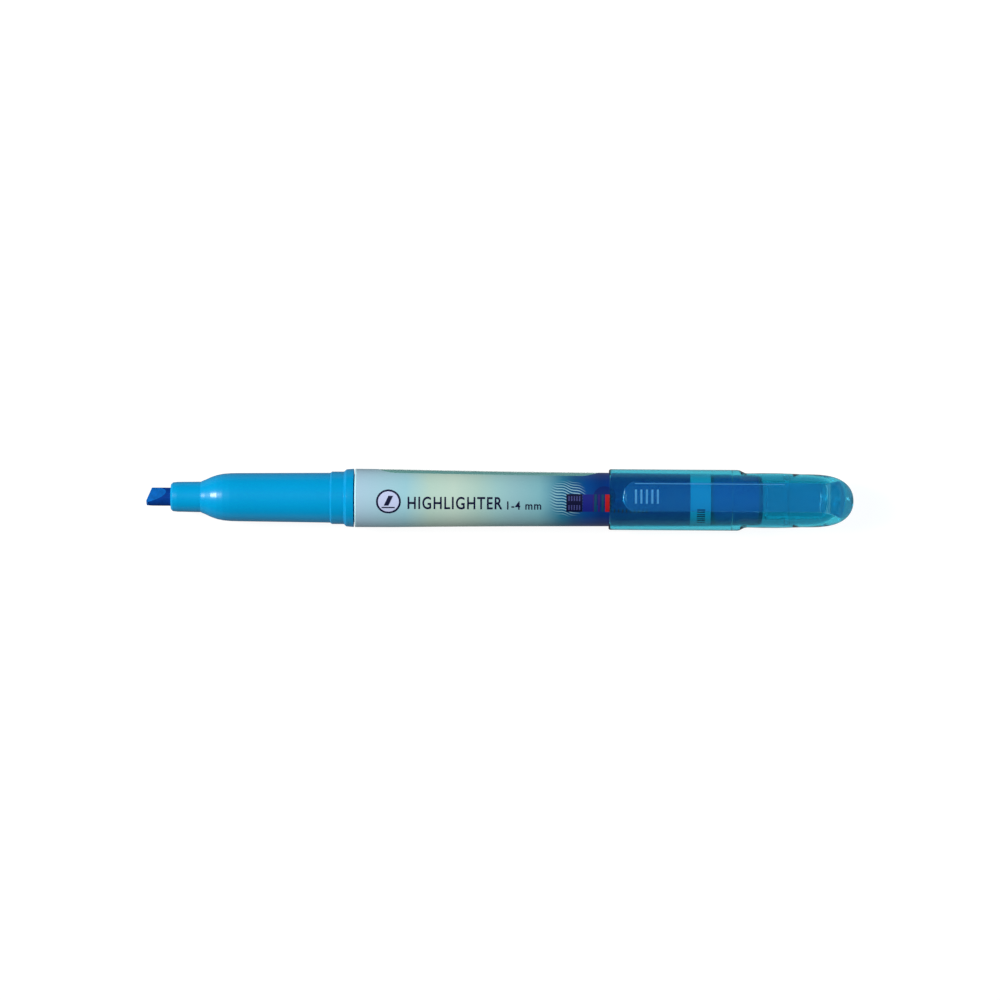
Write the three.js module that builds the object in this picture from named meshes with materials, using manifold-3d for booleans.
// A chisel-tip liquid-ink highlighter with its clear cap posted on the tail.
// Millimetres. +X runs from the nib to the cap's dome, +Z is the side of the pocket clip,
// and the origin is under the middle of the pen, level with the lowest facet of the cap.
import * as THREE from "three";
import { mergeVertices } from "three/examples/jsm/utils/BufferGeometryUtils.js";
import Module from "manifold-3d";

// ---- driving dimensions ----------------------------------------------------------------
// "Station" is the distance along the pen's axis from the tip of the nib.
const TOTAL_LENGTH = 150.0;
const FACETS = 36; // round the pen: a multiple of four, so a quarter turn maps it on itself
const CORE_FACETS = 24; // round the parts that hide inside the grip section
const RUNNING = 0.03; // radial clearance between turned parts that touch

const NIB_RADIUS = 1.95;
const NIB_REAR = 21.3;
const NIB_EDGE_HALF = 0.55; // half the thickness of the chisel edge
const NIB_FLAT_SLOPE = 0.333; // rise of each flat per millimetre of length
const NIB_EDGE_SLOPE = 0.354; // lean of the chisel edge across the nib
const NIB_TURN = THREE.MathUtils.degToRad(30); // the flats face this far from +Z towards +Y

const NOSE_FRONT = 5.2;
const COLLAR_REAR = 44.0;
const SPIGOT_REAR = 51.8;
const SPIGOT_RADIUS = 5.1;
const COLLECTOR_BORE = 4.3;
const COLLECTOR_BORE_FRONT = 20.4;

const COLLECTOR_FRONT = 22.0;
const COLLECTOR_CORE = 2.2;
const FIN_RADIUS = 4.05;
const FIN_FRONT = 24.0;
const FIN_PITCH = 2.2;
const FIN_THICKNESS = 1.0;
const FIN_COUNT = 11;
const FLANGE_FRONT = 49.2;
const FLANGE_REAR = 51.5;
const AIR_SLIT_WIDTH = 0.8;

const FEED_RADIUS = 1.3;
const FEED_FRONT = 21.35;
const FEED_REAR = 58.0;

const BARREL_FRONT = 44.25;
const BARREL_REAR = 130.7;
const TANK_REAR = 129.5;
const INK_FRONT = 52.7;
const INK_REAR = 129.2;

const LABEL_FRONT = 44.65;
const LABEL_REAR = 119.5;
const FILM_THICKNESS = 0.12;

const CAP_RIM = 98.1;
const CAP_RADIUS = 6.47;
const CAP_LEDGE = 124.1;
const CAP_NARROW_BORE = 5.45;

const SEAL_MOUTH = 131.3;
const SEAL_REAR = 144.1;
const SEAL_BORE = 3.45;
const SEAL_RADIUS = 4.1;
const SEAL_FLANGE_FRONT = 135.2;
const SEAL_FLANGE_REAR = 136.4;

const CLIP_HALF_WIDTH = 3.1;
const CLIP_ROOT_HALF_WIDTH = 3.7;
const CLIP_TOP = 8.75; // above the pen's axis
const CLIP_UNDERSIDE = 7.3;
const CLIP_FRONT = 100.9;
const CLIP_ROOT_GAP = 0.25; // between the root and the dome it grows from

// The cap rests on the facet that faces down, so the axis is one apothem above the origin.
const AXIS_HEIGHT = CAP_RADIUS * Math.cos(Math.PI / FACETS);

// ---- outlines shared by parts that nest -----------------------------------------------
// The outside of the dressed barrel, as [station, radius] from its front edge to its tail.
const BARREL_SKIN = [
  [BARREL_FRONT, 6.2], [52.0, 6.17], [64.3, 5.99], [77.0, 5.84], [90.8, 5.74],
  [97.2, 5.69], [LABEL_REAR, 5.47], [124.0, 5.42], [129.9, 5.35],
];
// The outside of the cap, from the chamfer behind its wide part to the top of its dome.
const CAP_TAIL = [
  [125.6, 6.42], [126.9, 5.8], [127.4, 5.74], [131.0, 5.83], [134.0, 5.83], [137.0, 5.73],
  [139.6, 5.62], [141.7, 5.41], [143.7, 5.2], [144.9, 5.05], [146.2, 4.72], [147.5, 4.2],
  [148.8, 3.2], [149.6, 1.95], [150.0, 0.0],
];

const wasm = await Module();
wasm.setup();

// ---- geometry helpers -----------------------------------------------------------------
/** Radius of an outline at a station, by straight lines between its points. */
function radiusAt(outline, station) {
  const next = outline.findIndex(([s]) => s >= station);
  if (next < 1) return next === 0 ? outline[0][1] : outline.at(-1)[1];
  const [s0, r0] = outline[next - 1];
  const [s1, r1] = outline[next];
  return r0 + ((r1 - r0) * (station - s0)) / (s1 - s0);
}

/** The part of an outline between two stations, with its radii changed by a constant. */
function stretch(outline, from, to, change) {
  const inner = outline.filter(([s]) => s > from && s < to);
  const ends = [[from, radiusAt(outline, from)], ...inner, [to, radiusAt(outline, to)]];
  return ends.map(([s, r]) => [s, r + change]);
}

/** Turned body about the pen's axis. The profile runs tailwards outside, noseward inside. */
function turned(profile, facets = FACETS) {
  const points = profile.map(([s, r]) => new THREE.Vector2(r, s - TOTAL_LENGTH / 2));
  const geometry = new THREE.LatheGeometry(points, facets, Math.PI / facets, 2 * Math.PI);
  return geometry.rotateZ(-Math.PI / 2).translate(0, 0, AXIS_HEIGHT);
}

/** A turned tube: closes its profile on the first point. */
function turnedTube(profile, facets = FACETS) {
  return turned([...profile, profile[0]], facets);
}

/** Flat shape through [x, y] points. */
function shapeOf(points) {
  return new THREE.Shape(points.map(([x, y]) => new THREE.Vector2(x, y)));
}

/** Slab with the given side view, as [station, height above the axis], centred on y = 0. */
function sideSlab(points, width) {
  const shape = shapeOf(points.map(([s, z]) => [s - TOTAL_LENGTH / 2, z]));
  return new THREE.ExtrudeGeometry(shape, { depth: width, bevelEnabled: false })
    .rotateX(Math.PI / 2)
    .translate(0, width / 2, AXIS_HEIGHT);
}

/** Slab with the given plan view, as [station, y], standing from the axis to a height. */
function planSlab(points, height) {
  const shape = shapeOf(points.map(([s, y]) => [s - TOTAL_LENGTH / 2, y]));
  return new THREE.ExtrudeGeometry(shape, { depth: height, bevelEnabled: false })
    .translate(0, 0, AXIS_HEIGHT);
}

/** Solid for cutting and joining, from a closed geometry. */
function solid(geometry) {
  const bare = geometry.clone();
  for (const name of Object.keys(bare.attributes)) {
    if (name !== "position") bare.deleteAttribute(name);
  }
  const merged = mergeVertices(bare, 1e-4);
  const corners = [];
  for (let i = 0; i < merged.index.count; i += 3) {
    const [a, b, c] = [0, 1, 2].map((k) => merged.index.getX(i + k));
    if (a !== b && b !== c && c !== a) corners.push(a, b, c);
  }
  return new wasm.Manifold(new wasm.Mesh({
    numProp: 3,
    vertProperties: new Float32Array(merged.attributes.position.array),
    triVerts: new Uint32Array(corners),
  }));
}

/** Geometry of a solid. */
function geometryOf(body) {
  const mesh = body.getMesh();
  const geometry = new THREE.BufferGeometry();
  geometry.setAttribute("position", new THREE.BufferAttribute(mesh.vertProperties, 3));
  geometry.setIndex(new THREE.BufferAttribute(mesh.triVerts, 1));
  geometry.computeVertexNormals();
  return geometry;
}

// ---- the writing end ------------------------------------------------------------------
/** Fibre rod with a chisel point: two flats that meet a leaning edge. */
function nib() {
  const rod = solid(turned([[0, 0], [0, NIB_RADIUS], [NIB_REAR, NIB_RADIUS], [NIB_REAR, 0]]));
  const reach = 2 * NIB_RADIUS;
  const far = 12; // past the end of both flats
  const wedge = shapeOf([
    [0, -NIB_EDGE_HALF], [far, -NIB_EDGE_HALF - NIB_FLAT_SLOPE * far],
    [NIB_REAR + 1, -far], [NIB_REAR + 1, far],
    [far, NIB_EDGE_HALF + NIB_FLAT_SLOPE * far], [0, NIB_EDGE_HALF],
  ]);
  const lean = shapeOf([
    [-reach * NIB_EDGE_SLOPE + NIB_RADIUS * NIB_EDGE_SLOPE, -reach],
    [NIB_REAR + 1, -reach], [NIB_REAR + 1, reach],
    [reach * NIB_EDGE_SLOPE + NIB_RADIUS * NIB_EDGE_SLOPE, reach],
  ]);
  const flats = new THREE.ExtrudeGeometry(wedge, { depth: 2 * reach, bevelEnabled: false })
    .rotateX(Math.PI / 2).translate(0, reach, 0);
  const edge = new THREE.ExtrudeGeometry(lean, { depth: 2 * reach, bevelEnabled: false })
    .translate(0, 0, -reach);
  for (const piece of [flats, edge]) {
    piece.rotateX(-NIB_TURN).translate(-TOTAL_LENGTH / 2, 0, AXIS_HEIGHT);
  }
  return geometryOf(rod.intersect(solid(flats)).intersect(solid(edge)));
}

/** Nose, shoulder, grip, snap land and collar in one moulding, with a spigot behind. */
function gripSection() {
  return turnedTube([
    [NOSE_FRONT, NIB_RADIUS + 0.05], [NOSE_FRONT, 2.45], [5.35, 2.8], [5.75, 3.05],
    [6.4, 3.18], [11.6, 3.27], [11.75, 3.45], [12.5, 3.75], [13.8, 4.33], [15.1, 4.75],
    [16.4, 4.99], [17.7, 5.09], [19.0, 5.12], [39.0, 5.31], [39.8, 5.55], [42.2, 5.58],
    [42.9, 5.86], [43.1, 6.14], [43.25, 6.2], [43.9, 6.2], [COLLAR_REAR, 6.12],
    [COLLAR_REAR, SPIGOT_RADIUS], [SPIGOT_REAR - 0.4, SPIGOT_RADIUS],
    [SPIGOT_REAR, SPIGOT_RADIUS - 0.2], [SPIGOT_REAR, COLLECTOR_BORE],
    [COLLECTOR_BORE_FRONT, COLLECTOR_BORE], [COLLECTOR_BORE_FRONT - 1.2, 3.0],
    [COLLECTOR_BORE_FRONT - 1.2, NIB_RADIUS + 0.05],
  ]);
}

/** Comb that holds surplus ink between its fins, slit along the top to let air pass. */
function inkCollector() {
  const bore = FEED_RADIUS + 0.1;
  const profile = [[COLLECTOR_FRONT, bore], [COLLECTOR_FRONT, COLLECTOR_CORE]];
  for (let fin = 0; fin < FIN_COUNT; fin += 1) {
    const front = FIN_FRONT + fin * FIN_PITCH;
    const rear = front + FIN_THICKNESS;
    profile.push([front, COLLECTOR_CORE], [front, FIN_RADIUS]);
    profile.push([rear, FIN_RADIUS], [rear, COLLECTOR_CORE]);
  }
  profile.push([FLANGE_FRONT, COLLECTOR_CORE], [FLANGE_FRONT, COLLECTOR_BORE - RUNNING * 2]);
  profile.push([FLANGE_REAR, COLLECTOR_BORE - RUNNING * 2], [FLANGE_REAR, bore]);
  const slit = sideSlab([
    [COLLECTOR_FRONT + 1, COLLECTOR_CORE + 0.2], [FLANGE_FRONT - 0.1, COLLECTOR_CORE + 0.2],
    [FLANGE_FRONT - 0.1, FIN_RADIUS + 1], [COLLECTOR_FRONT + 1, FIN_RADIUS + 1],
  ], AIR_SLIT_WIDTH);
  return geometryOf(solid(turnedTube(profile, CORE_FACETS)).subtract(solid(slit)));
}

/** Capillary rod that carries ink from the tank through the collector to the nib. */
function feedRod() {
  return turned([
    [FEED_FRONT, 0], [FEED_FRONT, FEED_RADIUS], [FEED_REAR, FEED_RADIUS], [FEED_REAR, 0],
  ], CORE_FACETS);
}

// ---- the tank -------------------------------------------------------------------------
/** Clear tapered tank, closed at the tail, with a band behind its front lip for the film. */
function barrel() {
  const recess = -FILM_THICKNESS - RUNNING;
  return turned([
    [TANK_REAR, 0], [TANK_REAR - 0.2, 3.9], [TANK_REAR - 0.9, 4.42], [INK_FRONT - 0.2, 5.0],
    [INK_FRONT - 0.6, SPIGOT_RADIUS + RUNNING], [BARREL_FRONT, SPIGOT_RADIUS + RUNNING],
    [BARREL_FRONT, 6.1], [BARREL_FRONT + 0.1, 6.2], [LABEL_FRONT - 0.05, 6.2],
    ...stretch(BARREL_SKIN, LABEL_FRONT - 0.05, LABEL_REAR + 0.05, recess),
    ...stretch(BARREL_SKIN, LABEL_REAR + 0.05, 129.9, 0),
    [BARREL_REAR - 0.2, 5.1], [BARREL_REAR, 4.7], [BARREL_REAR, 0],
  ]);
}

/** The liquid ink, round the end of the feed rod. */
function inkCharge() {
  return turned([
    [FEED_REAR + 0.1, 0], [FEED_REAR + 0.1, FEED_RADIUS + 0.1],
    [INK_FRONT, FEED_RADIUS + 0.1], [INK_FRONT, 4.95], [TANK_REAR - 0.95, 4.38],
    [INK_REAR, 3.85], [INK_REAR, 0],
  ]);
}

/** Printed film shrunk round the barrel. */
function barrelLabel() {
  const outside = stretch(BARREL_SKIN, LABEL_FRONT, LABEL_REAR, 0);
  const inside = stretch(BARREL_SKIN, LABEL_FRONT, LABEL_REAR, -FILM_THICKNESS);
  return turnedTube([...outside, ...inside.reverse()]);
}

// ---- the cap --------------------------------------------------------------------------
/** Cap moulding: wide mouth that stops at the collar, narrow tail and domed end. */
function capShell() {
  return turned([
    [147.8, 0], [147.5, 1.5], [146.8, 2.7], [145.6, 3.7], [144.2, 4.4], [141.7, 4.9],
    [139.2, 5.25], [137.4, CAP_NARROW_BORE], [CAP_LEDGE, CAP_NARROW_BORE],
    [CAP_LEDGE, 5.62], [CAP_RIM + 0.5, 5.8], [CAP_RIM, 5.9],
    [CAP_RIM, 6.15], [CAP_RIM + 0.15, 6.38], [CAP_RIM + 0.5, CAP_RADIUS],
    [125.3, CAP_RADIUS], ...CAP_TAIL,
  ]);
}

/** Cup pressed into the cap by its flange, which closes round the nose of the pen. */
function innerSeal() {
  return turned([
    [SEAL_REAR - 0.7, 0], [SEAL_REAR - 0.7, SEAL_BORE], [SEAL_MOUTH + 0.3, SEAL_BORE],
    [SEAL_MOUTH, SEAL_BORE + 0.25], [SEAL_MOUTH, SEAL_RADIUS],
    [SEAL_FLANGE_FRONT, SEAL_RADIUS], [SEAL_FLANGE_FRONT, CAP_NARROW_BORE - RUNNING],
    [SEAL_FLANGE_REAR, CAP_NARROW_BORE - RUNNING], [SEAL_FLANGE_REAR, SEAL_RADIUS],
    [SEAL_REAR - 0.9, SEAL_RADIUS - 0.1], [SEAL_REAR, SEAL_RADIUS - 0.8], [SEAL_REAR, 0],
  ]);
}

/** Springy arm that grows from the dome and runs over the cap to a rounded free end. */
function pocketClip() {
  const side = sideSlab([
    [CLIP_FRONT, 7.45], [101.2, 7.12], [101.8, 6.95], [103.4, 6.9], [105.2, 7.05],
    [107.2, CLIP_UNDERSIDE], [139.2, CLIP_UNDERSIDE], [141.2, 7.15], [142.6, 6.7],
    [143.2, 6.1], [143.4, 5.2], [143.4, 2.6], [149.3, 2.6], [149.35, 3.6], [148.9, 4.9],
    [148.0, 6.2], [146.7, 7.35], [144.9, 8.2], [142.4, 8.65], [139.2, CLIP_TOP],
    [102.3, CLIP_TOP], [101.3, 8.6], [CLIP_FRONT, 8.1],
  ], 12);
  const halfPlan = [
    [CLIP_FRONT, 1.7], [101.0, 2.3], [101.35, 2.8], [101.9, 3.05], [102.6, CLIP_HALF_WIDTH],
    [138.5, CLIP_HALF_WIDTH], [141.5, 3.3], [144.0, CLIP_ROOT_HALF_WIDTH], [146.0, 3.6],
    [147.5, 3.1], [148.6, 2.3], [149.2, 1.2],
  ];
  const mirrored = halfPlan.map(([s, y]) => [s, -y]).reverse();
  const plan = planSlab([...mirrored, ...halfPlan], 12);
  const dome = turned([[120, 0], [120, 6], ...CAP_TAIL.slice(3).map(
    ([s, r], i, all) => [s + (CLIP_ROOT_GAP * i) / (all.length - 1), r && r + CLIP_ROOT_GAP],
  )]);
  return geometryOf(solid(side).intersect(solid(plan)).subtract(solid(dome)));
}

// ---- assembly -------------------------------------------------------------------------
/** Named mesh with a plain material. */
function node(name, geometry, color, roughness, extra = {}) {
  const material = new THREE.MeshStandardMaterial({ color, roughness, metalness: 0, ...extra });
  const mesh = new THREE.Mesh(geometry, material);
  mesh.name = name;
  return mesh;
}

const clear = (opacity) => ({ transparent: true, opacity });

const highlighter = new THREE.Group();
highlighter.name = "chisel_highlighter";
highlighter.add(
  node("nib", nib(), 0x0562ad, 0.85),
  node("grip_section", gripSection(), 0x069cd6, 0.25),
  node("ink_collector", inkCollector(), 0xe8eef0, 0.5),
  node("feed_rod", feedRod(), 0x1c6fb4, 0.9),
  node("barrel", barrel(), 0xcfe6ea, 0.08, clear(0.35)),
  node("ink_charge", inkCharge(), 0x04307a, 0.15),
  node("barrel_label", barrelLabel(), 0x9cc6cf, 0.35),
  node("cap_shell", capShell(), 0x1b8fc4, 0.08, clear(0.45)),
  node("inner_seal", innerSeal(), 0xcfe8f0, 0.3, clear(0.6)),
  node("pocket_clip", pocketClip(), 0x1b8fc4, 0.08, clear(0.45)),
);

export default highlighter;
